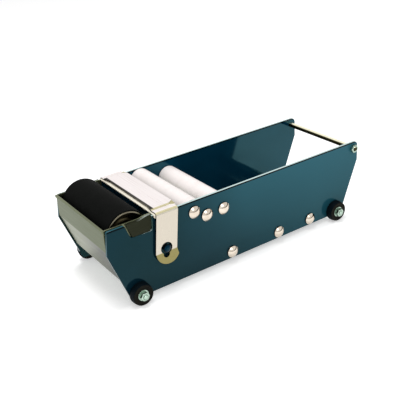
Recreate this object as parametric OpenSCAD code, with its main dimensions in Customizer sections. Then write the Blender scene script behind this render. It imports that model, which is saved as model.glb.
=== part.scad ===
// Bench dispenser for gummed paper tape, wetted by a roller in a lift-out water tank.
// X runs from the front, where the tape leaves, to the rear. Y runs across. Z is up.
// The origin is the middle of the footprint, at the table.
// The plan of each piece is measured from the plates' front edge and bottom edge.

/* [Side plates] */
// Outer width over both side plates
frame_w = 90; // [80:0.5:110]
// Length of a side plate along its top edge
plate_len = 267.5; // [262:0.5:300]
// Height of a side plate
plate_h = 68; // [66:0.5:76]
// Thickness of a side plate
plate_t = 2; // [1.5:0.1:2.4]
// Height at which the front edge turns into its slope
front_bend_z = 47; // [43:0.1:49]
// How far that bend stands ahead of the top edge's front end
front_lean = 2.1; // [1:0.1:2.5]
// Run of the front slope
front_run = 16.4; // [13:0.1:18]
// Height at which the rear edge turns into its slope
rear_bend_z = 48.7; // [42:0.1:52]
// Run of the rear slope
rear_run = 20; // [15:0.5:22]
// Radius of the rear top corner
rear_corner_r = 5; // [2:0.5:6]
// Radius of the other plate corners
plate_corner_r = 1.5; // [0.5:0.1:2]
// Start of the lug notch, from the front edge
notch_x0 = 15.7; // [14:0.1:17]
// Lean of the notch's front wall
notch_slant = 4.4; // [3:0.1:5]
// Depth of the lug notch
notch_depth = 12.5; // [10:0.1:14]
// Radius at the bottom of the lug notch
notch_r = 2.6; // [1.5:0.1:3]

/* [Rods] */
// Diameter of rods and axles between the plates
rod_d = 5; // [4.6:0.1:6]
// Diameter of their ends, outside the shoulders
rod_end_d = 4; // [3.4:0.1:4.4]
// Height of the foot rods
foot_rod_z = 5.1; // [4.5:0.1:6]
// Inset of the front foot rod from the plate's lower front corner
front_foot_inset = 7.5; // [6:0.1:10]
// Inset of the rear foot rod from the plate's lower rear corner
rear_foot_inset = 9.8; // [7:0.1:11]
// Inset of the rear tie rod from the rear edge
tie_inset = 6; // [5:0.1:8]
// Drop of the rear tie rod below the top edge
tie_drop = 6.2; // [5.5:0.1:9]
// Width across flats of the hexagon nuts
nut_flats = 7; // [6.5:0.1:8]
// Height of the hexagon nuts
nut_h = 3.2; // [2:0.1:4]

/* [Axle caps] */
// Diameter of a domed axle cap
cap_d = 11; // [9:0.1:11.4]
// Height of a domed axle cap
cap_h = 3.6; // [3:0.1:4.5]
// Straight rim below the dome
cap_rim = 1.4; // [0.4:0.1:2]
// Depth of the axle end inside its cap
cap_bite = 2.2; // [1.5:0.1:2.4]

/* [Feet] */
// Diameter of a rubber foot at the plate
foot_d = 19.5; // [17.5:0.5:21]
// Diameter of its outer face
foot_face_d = 18.2; // [15:0.1:18.2]
// Length of a foot along its rod
foot_len = 7; // [6:0.5:11]
// Depth of the nut recess
foot_recess = 1.2; // [0.8:0.1:2]
// Radius of the nut recess
foot_recess_r = 5.2; // [5:0.1:5.5]
// Outer rounding of the foot
foot_round = 1.2; // [0.8:0.1:2]
// Radius of a foot washer
washer_r = 4.9; // [4.3:0.1:4.9]
// Thickness of a foot washer
washer_t = 0.8; // [0.5:0.1:1]

/* [Guide rollers] */
// Radius of both white guide rollers
guide_r = 10.2; // [9:0.1:10.4]
// Gap between the blade bridge and the front guide roller
guide_front_gap = 7.2; // [6:0.1:9]
// Drop of the front guide axle below the top edge
guide_front_drop = 10.2; // [9.5:0.1:12]
// Set of the tension rod's middle behind the front guide roller
tension_set = 2.1; // [1.8:0.1:3]
// Drop of the tension rod below the top edge
tension_drop = 17; // [16:0.1:19]
// Gap between the two guide rollers
guide_gap = 9.1; // [8:0.1:10.5]
// Drop of the rear guide axle below the top edge
guide_rear_drop = 16.7; // [15:0.1:18]
// Side play of a guide roller at each end
guide_play = 0.6; // [0.4:0.1:1.5]
// Rim thickness at the recessed roller ends
guide_rim = 1.6; // [1.2:0.1:2.5]
// Radius of the hub in a roller end
guide_hub_r = 4.6; // [4:0.1:5]
// Depth of the recess in a roller end
guide_dish = 4; // [2:0.5:6]

/* [Roll bay] */
// Gap between the water tank's rear and the front end of the floor pan
floor_front_gap = 5.7; // [4:0.1:10]
// Gap between the rear end of the floor pan and the rear foot rod
floor_rear_gap = 2; // [1:0.1:8]
// Thickness of the floor pan
floor_t = 1.2; // [0.8:0.1:1.2]
// Height of the floor pan's side flanges
floor_flange = 11.4; // [10.5:0.1:14]
// Height of the floor pan's end lips
floor_lip = 6; // [4:0.5:8]
// Height of the roll support axles
support_z = 6.2; // [6:0.1:6.5]
// Radius of a roll support roller
support_r = 4.2; // [3.8:0.1:4.4]
// Set of the front support axle behind the rear guide axle
support_front_set = 6.9; // [3:0.1:10]
// Inset of the rear support axle from the rear edge
support_rear_inset = 60.4; // [55:0.1:68]
// Place of the middle support axle, as a share of the way from the front one to the rear one
support_middle_share = 0.5826; // [0.5:0.0001:0.65]

/* [Water tank] */
// How far the tank stands ahead of the plates
tank_proud = 1.5; // [1:0.1:2.5]
// Wall of the tank
tank_t = 1; // [0.8:0.1:1.1]
// Play between the tank and each plate
tank_play = 0.4; // [0.3:0.1:0.6]
// Rise of the front wall above the plates
tank_rise = 0.8; // [0.4:0.1:1.5]
// Height of the hem folded outwards along the top of the front wall
hem_h = 2; // [1.5:0.1:3]
// Drop of the tank's rear wall below the plates' top edge
tank_rear_drop = 5.5; // [2:0.1:8]
// Height at which the front wall turns into its slope
tank_bend_z = 49.5; // [46:0.1:52]
// Height of the tank's floor
tank_floor_z = 16.5; // [13:0.1:20]
// Rise of the shoulders above the plates
shoulder_rise = 1.8; // [1.2:0.1:2]
// Length of the shoulders along X
shoulder_len = 5; // [4:0.1:6]
// Length of the ramp up to a shoulder
shoulder_ramp = 7.6; // [5:0.1:9]
// Thickness of a tank lug, which stands in the plate's notch
lug_t = 2.1; // [1.6:0.1:2.3]
// Play of a lug ahead of itself
lug_front_play = 1.6; // [0.6:0.1:2]
// Play of a lug behind itself
lug_rear_play = 0.5; // [0.3:0.1:1]
// Lean of a lug's rear edge
lug_lean = 1.5; // [0.5:0.1:3]

/* [Wet roller] */
// Radius of the wet roller's black sleeve
wet_r = 18.9; // [17:0.1:19.4]
// Gap between the wet roller and the tank's front wall
wet_front_gap = 2; // [1:0.1:3]
// Gap between the wet roller and the tank's rear wall
wet_rear_gap = 1; // [0.6:0.1:2]
// Drop of the wet roller's axle below the top edge
wet_drop = 9.5; // [8.5:0.1:11]
// Thickness of the black sleeve
sleeve_t = 1.1; // [0.8:0.1:2]
// Wall of the drum under the sleeve
drum_t = 0.9; // [0.7:0.1:1.5]
// Gap between a drum end and the axle cradle
drum_play = 0.5; // [0.4:0.1:2]
// How far a drum end is set back inside the drum
drum_end_set = 5; // [3:0.5:8]
// Thickness of a drum end
drum_end_t = 1.4; // [1:0.1:2]
// Radius of a drum end's hub
drum_hub_r = 5; // [4.2:0.1:6]
// Thickness of an axle cradle
cradle_t = 1.2; // [1:0.1:1.5]
// Width of an axle cradle
cradle_w = 17; // [14:0.5:20]
// Height of an axle cradle below the axle
cradle_below = 12; // [10:0.5:14]
// Height of an axle cradle above the axle
cradle_above = 6.5; // [4:0.5:7]

/* [Blade and cover] */
// Thickness of the blade bridge
blade_t = 0.8; // [0.6:0.1:1]
// Gap between the tank and the blade's teeth
blade_gap = 0.4; // [0.3:0.1:1]
// Depth of the blade's teeth
tooth_depth = 0.7; // [0.6:0.1:1.4]
// Pitch of the blade's teeth
tooth_pitch = 2; // [1.6:0.1:3]
// Depth of the blade bridge behind its teeth
blade_depth = 20.1; // [16:0.1:20.3]
// Height of the blade bridge's side tabs
blade_tab = 7; // [6:0.1:8]
// Corner cut from the lower front of each tab
tab_corner = 5.5; // [1:0.1:6]
// Thickness of the cover
cover_t = 1; // [0.8:0.1:1.2]
// Set of the cover's front edge behind the tips of the teeth
cover_set = 1.4; // [0.4:0.1:2]
// Depth of the cover plate along X
cover_depth = 21.4; // [21:0.1:23]
// Height of the step in the cover plate, which leaves the tape slot
cover_step = 1; // [0.8:0.1:1.6]
// Set of the step in from the side plates
step_inset = 4; // [3.8:0.1:6]
// Depth of the shallow relief in the cover plate's front edge
front_relief = 1.5; // [1:0.1:2]
// Length of the relief's taper at each end
relief_taper = 8; // [5:0.5:12]
// Length of the gusset at the rear end of each step
gusset_len = 5.5; // [4:0.5:7]
// How far a gusset spreads to each side of its step
gusset_reach = 2.6; // [1.5:0.1:2.7]
// Width of a cover leg
leg_w = 20.2; // [18:0.1:21]
// Start of a cover leg behind the cover plate's front edge
leg_set = 0.1; // [0:0.1:0.5]
// Lean of a cover leg in degrees
leg_lean = 6.8; // [4:0.1:8]
// How far the radius of a leg's round tip exceeds half of the leg's width
tip_over = 1.1; // [0.8:0.1:2]
// Set of the tip towards the rear
tip_set = 1.5; // [0.8:0.1:2]
// Flare of the tip's rear edge over the tip's depth
tip_flare = 2.4; // [1.5:0.1:5]
// Outward turn of the tip in degrees
tip_turn = 5; // [0:0.5:5.5]
// Height of the tip's crease below the stud
crease_below = 3.1; // [2.8:0.1:4]
// Height of the cover studs above the plates' bottom edge
stud_z = 36.6; // [34:0.1:38]
// Radius of the round part of a leg's keyhole
key_r = 5.4; // [5:0.1:5.8]
// Radius of the narrow part of a leg's keyhole
key_slot_r = 2.9; // [2.8:0.1:3.2]
// Distance between the two parts, and lift of the cover
key_drop = 5.5; // [5:0.1:6]
// Radius of a stud's neck
stud_neck_r = 2.5; // [2.2:0.1:2.6]
// Radius of a stud's head
stud_head_r = 3.8; // [3.5:0.1:4.7]
// Height of a stud's domed head
stud_head_h = 1.5; // [1:0.1:2]

/* [Hidden] */
$fn = 64;

// Overrun of every cut
cut = 1;
// Radial gap of a fixed pin in its hole
fit_gap = 0.05;
// Radial gap of a roller on its axle
run_gap = 0.06;
// Straight pieces in an arc of an outline
arc_steps = 8;

inner_w = frame_w - 2 * plate_t;
half_in = inner_w / 2;
half_out = frame_w / 2;
foot_r = foot_d / 2;
// The frontmost place: the tank's hem or the plates' bend
front_reach = max(front_lean, tank_proud + tank_t);
// Whole frame's place: centred along X, feet on the table
origin_x = -(plate_len - front_reach) / 2;
origin_z = foot_r - foot_rod_z;

// Places of the rods and axles, as X and Z
front_low_x = front_run - front_lean;
front_foot_at = [front_low_x + front_foot_inset, foot_rod_z];
rear_foot_at = [plate_len - rear_run - rear_foot_inset, foot_rod_z];
tie_at = [plate_len - tie_inset, plate_h - tie_drop];
foot_rods = [front_foot_at, rear_foot_at];

// Tank, from its front face to its rear face, with the wet roller between
tank_x0 = -tank_proud;
wet_x = tank_x0 + tank_t + wet_front_gap + wet_r;
tank_x1 = wet_x + wet_r + wet_rear_gap + tank_t;
tank_half = half_in - tank_play;
// The tank's slope runs parallel to the plates' front slope
tank_slope_run = (tank_bend_z - tank_floor_z) * front_run / front_bend_z;
tank_top = plate_h + tank_rise;
notch_z = plate_h - notch_depth;
notch_back = 0.8;
notch_x1 = tank_x1 - notch_back;
shoulder_z = plate_h + shoulder_rise;

// Ends of the floor pan
floor_x0 = tank_x1 + floor_front_gap;
floor_x1 = rear_foot_at.x - rod_d / 2 - floor_rear_gap;

// Wet roller
wet_at = [wet_x, plate_h - wet_drop];
cradle_in = tank_half - tank_t - cradle_t;
drum_half = cradle_in - drum_play;
drum_r = wet_r - sleeve_t;
sleeve_set = 0.3;
wet_axle_half = tank_half - tank_t - fit_gap - drum_play / 2;
cradle_slot_r = rod_d / 2 + 2 * fit_gap;
hub_proud = 0.6;
clip_ring = 1.4;
clip_r = rod_d / 2 + clip_ring;
clip_t = 0.8;
clip_gap = 0.2;

// Blade bridge, whose inner face lies on the plates' top edges
blade_tip_x = tank_x1 + blade_gap;
blade_root_x = blade_tip_x + tooth_depth;
blade_bend = 0.4;
blade_in = half_out + blade_bend;
teeth_half = half_in - tooth_pitch;
rivet_r = 1.5;
rivet_tail_r = 2.4;
rivet_tail_t = 0.8;
rivet_at = [blade_root_x + blade_depth / 2, plate_h - blade_tab / 2];

// Axles behind the blade bridge, as X and Z
guide_front_at = [blade_root_x + blade_depth + guide_front_gap + guide_r, plate_h - guide_front_drop];
tension_at = [guide_front_at.x + guide_r + tension_set, plate_h - tension_drop];
guide_rear_at = [guide_front_at.x + 2 * guide_r + guide_gap, plate_h - guide_rear_drop];
support_front_at = [guide_rear_at.x + support_front_set, support_z];
support_rear_at = [plate_len - support_rear_inset, support_z];
support_middle_at = support_front_at + (support_rear_at - support_front_at) * support_middle_share;
guide_axles = [guide_front_at, tension_at, guide_rear_at];
support_axles = [support_front_at, support_middle_at, support_rear_at];

// Cover, which stands clear of the blade bridge
leg_clear = 0.3;
cover_seat = 0.2;
cover_bend = 1.5;
leg_in = blade_in + blade_t + leg_clear;
ridge_z = plate_h + blade_t + cover_seat;
cover_x0 = blade_tip_x + cover_set;
cover_x1 = cover_x0 + cover_depth;
leg_x0 = cover_x0 + leg_set;
leg_x1 = leg_x0 + leg_w;
// Where a leg starts to lean
lean_z = ridge_z - cover_bend;
cover_inset = 0.5;
cover_wide_half = half_in - cover_inset;
step_run = 0.8;
step_bend = 0.3;
step_half = half_in - step_inset;
stud_x = (leg_x0 + leg_x1) / 2 - (lean_z - stud_z) * tan(leg_lean);
crease_z = stud_z - crease_below;
tip_r = leg_w / 2 + tip_over;
head_gap = 0.95;
stud_tail_r = 3.4;
stud_tail_t = 0.8;

// Outlines: unit vectors, bends of constant radius, and sheet of constant thickness

function unit(v) = v / norm(v);
function left_of(a, b) = let (d = unit(b - a)) [-d.y, d.x];
function wrapped(a) = a > 180 ? a - 360 : a < -180 ? a + 360 : a;

// Points of the fillet of radius r at corner p, between its neighbours a and b
function fillet(p, a, b, r) = r == 0 ? [p] :
    let (
        u = unit(a - p),
        v = unit(b - p),
        half = acos(u * v) / 2,
        c = p + unit(u + v) * r / sin(half),
        s = p + u * r / tan(half) - c,
        e = p + v * r / tan(half) - c,
        from = atan2(s.y, s.x),
        sweep = wrapped(atan2(e.y, e.x) - from)
    )
    [for (i = [0:arc_steps]) let (a = from + sweep * i / arc_steps) c + r * [cos(a), sin(a)]];

// A closed outline with a radius at each corner
function rounded(pts, radii) = [for (i = [0:len(pts) - 1])
    each fillet(pts[i], pts[(i + len(pts) - 1) % len(pts)], pts[(i + 1) % len(pts)], radii[i])];

// A path moved sideways, to its left, by t
function shifted(path, t) = [for (i = [0:len(path) - 1])
    let (
        n = left_of(path[max(i - 1, 0)], path[max(i, 1)]),
        m = left_of(path[min(i, len(path) - 2)], path[min(i + 1, len(path) - 1)])
    )
    path[i] + (n + m) * t / (1 + n * m)];

function turns_left(path, i) = left_of(path[i - 1], path[i]) * (path[i + 1] - path[i]) > 0;

// An open path with bends: r on the inner side of each bend, r + t on its outer side
function bent(path, r, t, on_left) = [for (i = [0:len(path) - 1])
    each i == 0 || i == len(path) - 1 ? [path[i]] :
        fillet(path[i], path[i - 1], path[i + 1], turns_left(path, i) == on_left ? r : r + t)];

function reversed(pts) = [for (i = [len(pts) - 1:-1:0]) pts[i]];

// Section of sheet of thickness t laid to the left of a path, with inner bend radius r
function sheet(path, r, t) = concat(bent(path, r, t, false), reversed(bent(shifted(path, t), r, t, true)));

function mirrored(pts) = [for (i = [len(pts) - 1:-1:0]) [-pts[i].x, pts[i].y]];

// Placing

module framed() {
    translate([origin_x, 0, origin_z]) children();
}

// Extrudes an X-Z outline from y0 to y1
module across(y0, y1) {
    translate([0, y1, 0]) rotate([90, 0, 0]) linear_extrude(y1 - y0) children();
}

// Extrudes a Y-Z outline from x0 to x1
module along(x0, x1) {
    translate([x0, 0, 0]) rotate([90, 0, 90]) linear_extrude(x1 - x0) children();
}

// Turns Z to point out of the right side plate, from its outer face
module outward(at) {
    translate([at.x, -half_out, at.y]) rotate([90, 0, 0]) children();
}

module other_side() {
    mirror([0, 1, 0]) children();
}

module both_sides() {
    children();
    other_side() children();
}

module rod(at, d, half) {
    translate([at.x, 0, at.y]) rotate([90, 0, 0]) cylinder(d = d, h = 2 * half, center = true);
}

// A rod that fills the space between the plates and passes them with thinner ends
module shouldered_rod(at, reach) {
    rod(at, rod_d, half_in);
    rod(at, rod_end_d, half_out + reach);
}

module ring(r, bore_r, h) {
    difference() {
        cylinder(r = r, h = h);
        translate([0, 0, -cut]) cylinder(r = bore_r, h = h + 2 * cut);
    }
}

// A spherical cap of base radius r and height h
module dome(r, h) {
    ball = (r * r + h * h) / (2 * h);
    intersection() {
        translate([0, 0, h - ball]) sphere(r = ball);
        cylinder(r = r, h = h);
    }
}

// Frame

plate_outline = rounded(
    [[-front_lean, front_bend_z], [0, plate_h], [notch_x0, plate_h], [notch_x0 + notch_slant, notch_z],
        [notch_x1, notch_z], [notch_x1, plate_h], [plate_len, plate_h], [plate_len, rear_bend_z],
        [plate_len - rear_run, 0], [front_low_x, 0]],
    [plate_corner_r, plate_corner_r, plate_corner_r, notch_r, notch_r, 0, rear_corner_r,
        plate_corner_r, plate_corner_r, plate_corner_r]);

module side_plate() {
    color("#1f4552") framed() difference() {
        across(-half_out, -half_in) polygon(plate_outline);
        for (at = concat(guide_axles, support_axles, foot_rods, [tie_at]))
            rod(at, rod_end_d + 2 * fit_gap, half_out + cut);
        rod([stud_x, stud_z], 2 * (stud_neck_r + fit_gap), half_out + cut);
        rod(rivet_at, 2 * (rivet_r + fit_gap), half_out + cut);
    }
}

module side_plate_right() {
    side_plate();
}

module side_plate_left() {
    other_side() side_plate();
}

floor_path = [[-half_in, floor_flange], [-half_in, 0], [half_in, 0], [half_in, floor_flange]];
floor_bend = 1;
floor_relief = 0.6;

// One end lip, turned up between the side flanges
module floor_end(x) {
    lip_half = half_in - floor_t - floor_bend - floor_relief;
    across(-lip_half, lip_half) polygon([[x, 0], [x + floor_t, 0], [x + floor_t, floor_lip], [x, floor_lip]]);
}

module floor_pan() {
    color("#2b2e30") framed() difference() {
        union() {
            along(floor_x0, floor_x1) polygon(sheet(floor_path, floor_bend, floor_t));
            floor_end(floor_x0);
            floor_end(floor_x1 - floor_t);
        }
        for (at = support_axles) rod(at, rod_d + 2 * fit_gap, half_out + cut);
    }
}

// Rods, nuts and feet

nut_seat = foot_len - foot_recess;
rod_end_proud = 0.8;

module front_foot_rod() {
    color("#b9bcb8") framed() shouldered_rod(front_foot_at, nut_seat + washer_t + nut_h + rod_end_proud);
}

module rear_foot_rod() {
    color("#b9bcb8") framed() shouldered_rod(rear_foot_at, nut_seat + washer_t + nut_h + rod_end_proud);
}

module rear_tie_rod() {
    color("#b9bcb8") framed() shouldered_rod(tie_at, nut_h + rod_end_proud);
}

module nut() {
    difference() {
        cylinder(d = nut_flats / cos(30), h = nut_h, $fn = 6);
        translate([0, 0, -cut]) cylinder(r = rod_end_d / 2 + fit_gap, h = nut_h + 2 * cut);
    }
}

module rear_tie_nuts() {
    color("#c3cac4") framed() both_sides() outward(tie_at) nut();
}

foot_straight_share = 0.45;

// Half section of a foot: straight near the plate, then tapered to its rounded face
module foot_section() {
    bore_r = rod_end_d / 2 + fit_gap;
    face_r = foot_face_d / 2;
    straight = foot_len * foot_straight_share;
    polygon(rounded(
        [[bore_r, 0], [foot_r, 0], [foot_r, straight], [face_r, foot_len], [foot_recess_r, foot_len],
            [foot_recess_r, nut_seat], [bore_r, nut_seat]],
        [0, 0, 0, foot_round, 0, 0, 0]));
}

module foot(at) {
    color("#1b1c1a") framed() outward(at) rotate_extrude() foot_section();
}

module foot_front_right() {
    foot(front_foot_at);
}

module foot_front_left() {
    other_side() foot(front_foot_at);
}

module foot_rear_right() {
    foot(rear_foot_at);
}

module foot_rear_left() {
    other_side() foot(rear_foot_at);
}

module foot_washers() {
    color("#c3cac4") framed() both_sides() for (at = foot_rods)
        outward(at) translate([0, 0, nut_seat]) ring(washer_r, rod_end_d / 2 + fit_gap, washer_t);
}

module foot_nuts() {
    color("#c3cac4") framed() both_sides() for (at = foot_rods)
        outward(at) translate([0, 0, nut_seat + washer_t]) nut();
}

// Axles, their domed caps and their rollers

module axle_cap() {
    difference() {
        union() {
            cylinder(d = cap_d, h = cap_rim);
            translate([0, 0, cap_rim]) dome(cap_d / 2, cap_h - cap_rim);
        }
        translate([0, 0, -cut]) cylinder(r = rod_end_d / 2 + fit_gap, h = cap_bite + cut);
    }
}

module axle(at) {
    color("#b9bcb8") framed() shouldered_rod(at, cap_bite);
}

module guide_axle_front() {
    axle(guide_front_at);
}

module guide_axle_rear() {
    axle(guide_rear_at);
}

module tension_rod() {
    axle(tension_at);
}

module support_axle_front() {
    axle(support_front_at);
}

module support_axle_middle() {
    axle(support_middle_at);
}

module support_axle_rear() {
    axle(support_rear_at);
}

module guide_axle_caps() {
    color("#e3dcd2") framed() both_sides() for (at = guide_axles) outward(at) axle_cap();
}

module support_axle_caps() {
    color("#e3dcd2") framed() both_sides() for (at = support_axles) outward(at) axle_cap();
}

// A moulded roller with dished ends, on a hub bore
module guide_roller(at) {
    half = half_in - guide_play;
    color("#f3ecea") framed() difference() {
        rod(at, 2 * guide_r, half);
        rod(at, rod_d + 2 * run_gap, half + cut);
        both_sides() translate([at.x, -half - cut, at.y]) rotate([-90, 0, 0])
            ring(guide_r - guide_rim, guide_hub_r, guide_dish + cut);
    }
}

module guide_roller_front() {
    guide_roller(guide_front_at);
}

module guide_roller_rear() {
    guide_roller(guide_rear_at);
}

module support_roller(at) {
    half = half_in - floor_t - guide_play;
    color("#6d7072") framed() difference() {
        rod(at, 2 * support_r, half);
        rod(at, rod_d + 2 * run_gap, half + cut);
    }
}

module support_roller_front() {
    support_roller(support_front_at);
}

module support_roller_middle() {
    support_roller(support_middle_at);
}

module support_roller_rear() {
    support_roller(support_rear_at);
}

// Water tank

tank_path = [[tank_x0, tank_top], [tank_x0, tank_bend_z],
    [tank_x0 + tank_slope_run, tank_floor_z], [tank_x1, tank_floor_z], [tank_x1, plate_h - tank_rear_drop]];
tank_bend = 0.8;

// Side wall, whose rear top corner rises in a rounded shoulder
module tank_side() {
    polygon(rounded(
        [tank_path[0], tank_path[1], tank_path[2], tank_path[3],
            [tank_x1, shoulder_z], [tank_x1 - shoulder_len, shoulder_z],
            [tank_x1 - shoulder_len - shoulder_ramp, tank_top]],
        [0, tank_bend + tank_t, tank_bend + tank_t, tank_bend + tank_t, tank_bend,
            shoulder_ramp, shoulder_ramp]));
}

// Hem folded outwards over the front wall's top edge
module tank_hem() {
    polygon(rounded(
        [[tank_x0, tank_top - hem_h], [tank_x0, tank_top], [tank_x0 - tank_t, tank_top],
            [tank_x0 - tank_t, tank_top - hem_h]],
        [0, 0, tank_t / 2, 0]));
}

module water_tank() {
    color("#868c78") framed() {
        across(-tank_half, tank_half) {
            polygon(sheet(tank_path, tank_bend, tank_t));
            tank_hem();
        }
        both_sides() across(-tank_half, -tank_half + tank_t) tank_side();
    }
}

// Stands in the plate's notch, on the notch's floor
module tank_lug() {
    front = notch_x0 + lug_front_play;
    rear = notch_x1 - lug_rear_play;
    color("#4a4a38") framed() across(-tank_half - lug_t, -tank_half) polygon(rounded(
        [[front, plate_h], [front + notch_slant, notch_z], [rear - lug_lean, notch_z], [rear, shoulder_z],
            [tank_x1 - shoulder_len, shoulder_z], [tank_x1 - shoulder_len - shoulder_ramp, plate_h]],
        [0, notch_r, notch_r, tank_bend, shoulder_ramp, shoulder_ramp]));
}

module tank_lug_right() {
    tank_lug();
}

module tank_lug_left() {
    other_side() tank_lug();
}

cradle_corner_share = 0.2;

// Bracket on the tank's inner side, with an open slot that the axle drops into
module axle_cradle() {
    low = wet_at.y - cradle_below;
    high = wet_at.y + cradle_above;
    corner = cradle_w * cradle_corner_share;
    color("#b9bcb8") framed() difference() {
        across(-cradle_in - cradle_t, -cradle_in) polygon(rounded(
            [[wet_at.x - cradle_w / 2, low], [wet_at.x + cradle_w / 2, low],
                [wet_at.x + cradle_w / 2, high], [wet_at.x - cradle_w / 2, high]],
            [corner / 2, corner / 2, corner, corner]));
        rod(wet_at, 2 * cradle_slot_r, half_out + cut);
        across(-half_out, half_out) translate([wet_at.x - cradle_slot_r, wet_at.y])
            square([2 * cradle_slot_r, cradle_above + cut]);
    }
}

module axle_cradle_right() {
    axle_cradle();
}

module axle_cradle_left() {
    other_side() axle_cradle();
}

// Wet roller

drum_end_out = drum_half - drum_end_set;

module wet_roller_axle() {
    color("#b9bcb8") framed() rod(wet_at, rod_d, wet_axle_half);
}

// Rings clipped on the axle beside the drum's hubs
module wet_axle_clips() {
    near = drum_end_out + hub_proud + clip_gap;
    color("#8f9290") framed() both_sides() translate([wet_at.x, -near, wet_at.y]) rotate([90, 0, 0])
        ring(clip_r, rod_d / 2 + fit_gap, clip_t);
}

module wet_roller_drum() {
    color("#7d7a70") framed() difference() {
        rod(wet_at, 2 * drum_r, drum_half);
        rod(wet_at, 2 * (drum_r - drum_t), drum_half + cut);
    }
}

// Dished discs in the drum, each with a hub that runs on the axle
module wet_drum_ends() {
    color("#5e5448") framed() both_sides() translate([wet_at.x, -drum_end_out, wet_at.y]) rotate([90, 0, 0])
        difference() {
            union() {
                translate([0, 0, -drum_end_t]) cylinder(r = drum_r - drum_t, h = drum_end_t);
                translate([0, 0, -2 * drum_end_t]) cylinder(r = drum_hub_r, h = 2 * drum_end_t + hub_proud);
            }
            translate([0, 0, -2 * drum_end_t - cut])
                cylinder(r = rod_d / 2 + run_gap, h = 2 * drum_end_t + hub_proud + 2 * cut);
        }
}

module wet_roller_sleeve() {
    sleeve_half = drum_half - sleeve_set;
    color("#161716") framed() difference() {
        rod(wet_at, 2 * wet_r, sleeve_half);
        rod(wet_at, 2 * drum_r, sleeve_half + cut);
    }
}

// Blade bridge: sheet folded over both plates, with a saw-toothed front edge

blade_path = [[-blade_in, plate_h - blade_tab], [-blade_in, plate_h], [blade_in, plate_h],
    [blade_in, plate_h - blade_tab]];
tooth_count = floor(2 * teeth_half / tooth_pitch);
first_tooth_y = -tooth_count * tooth_pitch / 2;

// What is cut away ahead of the saw teeth, between a plain end at each plate
gullets = concat(
    [[blade_tip_x - cut, -first_tooth_y], [blade_tip_x - cut, first_tooth_y]],
    [for (i = [0:tooth_count - 1]) each [[blade_root_x, first_tooth_y + i * tooth_pitch],
        [blade_tip_x, first_tooth_y + (i + 0.5) * tooth_pitch]]],
    [[blade_root_x, -first_tooth_y]]);

tab_corner_cut = [[blade_tip_x - cut, plate_h - blade_tab + tab_corner + cut],
    [blade_tip_x - cut, plate_h - blade_tab - cut], [blade_tip_x + tab_corner + cut, plate_h - blade_tab - cut]];

module blade_bridge() {
    color("#d9d6cc") framed() difference() {
        along(blade_tip_x, blade_root_x + blade_depth) polygon(sheet(blade_path, blade_bend, blade_t));
        translate([0, 0, plate_h - blade_t]) linear_extrude(3 * blade_t) polygon(gullets);
        across(-half_out - 3 * blade_t, half_out + 3 * blade_t) polygon(tab_corner_cut);
        rod(rivet_at, 2 * (rivet_r + fit_gap), half_out + blade_in);
    }
}

// Rivets flush with the blade's tabs, with a formed tail inside the plate
module blade_rivets() {
    head_out = blade_in + blade_t;
    color("#b9bcb8") framed() both_sides() translate([rivet_at.x, -half_in, rivet_at.y]) rotate([90, 0, 0]) {
        cylinder(r = rivet_r, h = head_out - half_in);
        translate([0, 0, -rivet_tail_t]) cylinder(r = rivet_tail_r, h = rivet_tail_t);
    }
}

// Cover

module stud() {
    neck = leg_in - half_out + cover_t + head_gap;
    cylinder(r = stud_neck_r, h = neck);
    translate([0, 0, neck]) dome(stud_head_r, stud_head_h);
    translate([0, 0, -plate_t]) cylinder(r = stud_neck_r, h = plate_t);
    translate([0, 0, -plate_t - stud_tail_t]) cylinder(r = stud_tail_r, h = stud_tail_t);
}

module cover_studs() {
    color("#1d3f50") framed() both_sides() outward([stud_x, stud_z]) stud();
}

step_path = [[-step_half - step_run, ridge_z], [-step_half, ridge_z + cover_step]];
plate_path = concat([[-cover_wide_half, ridge_z]], step_path, mirrored(step_path), [[cover_wide_half, ridge_z]]);
bow_path = [[-leg_in, lean_z], [-leg_in, ridge_z], step_path[0]];

// Leg outline, seen from the side: leaning edges, round tip below the crease, and the keyhole
module leg_outline() {
    front = leg_x0 - (lean_z - crease_z) * tan(leg_lean);
    rear = front + leg_w;
    difference() {
        union() {
            polygon([[leg_x0, lean_z], [leg_x1, lean_z], [rear, crease_z], [front, crease_z]]);
            intersection() {
                translate([(front + rear) / 2 + tip_set, crease_z]) circle(r = tip_r);
                polygon([[front, crease_z], [rear, crease_z], [rear + tip_flare, crease_z - tip_r],
                    [front - tip_r * tan(leg_lean), crease_z - tip_r]]);
            }
        }
        keyhole();
    }
}

// Round hole with a narrower one below it, along the leg's lean
module keyhole() {
    translate([stud_x, stud_z]) rotate(-leg_lean) {
        circle(r = key_r);
        translate([0, -key_drop]) circle(r = key_slot_r);
        translate([-key_slot_r, -key_drop]) square([2 * key_slot_r, key_drop]);
    }
}

module above_crease() {
    intersection() {
        leg_outline();
        translate([0, crease_z]) square([plate_len, plate_h]);
    }
}

module below_crease() {
    intersection() {
        leg_outline();
        square([plate_len, crease_z]);
    }
}

module cover_leg() {
    across(-leg_in - cover_t, -leg_in) above_crease();
    translate([0, -leg_in, crease_z]) rotate([-tip_turn, 0, 0]) translate([0, leg_in, -crease_z])
        across(-leg_in - cover_t, -leg_in) below_crease();
}

// Front edge set back between the legs
module front_edge_cut() {
    set_back = cover_x0 + front_relief;
    flat_half = step_half - relief_taper;
    mouth_half = step_half + relief_taper * cut / front_relief;
    translate([0, 0, ridge_z - cut]) linear_extrude(cover_step + cover_t + 2 * cut)
        polygon([[cover_x0 - cut, -mouth_half], [set_back, -flat_half], [set_back, flat_half],
            [cover_x0 - cut, mouth_half]]);
}

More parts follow.
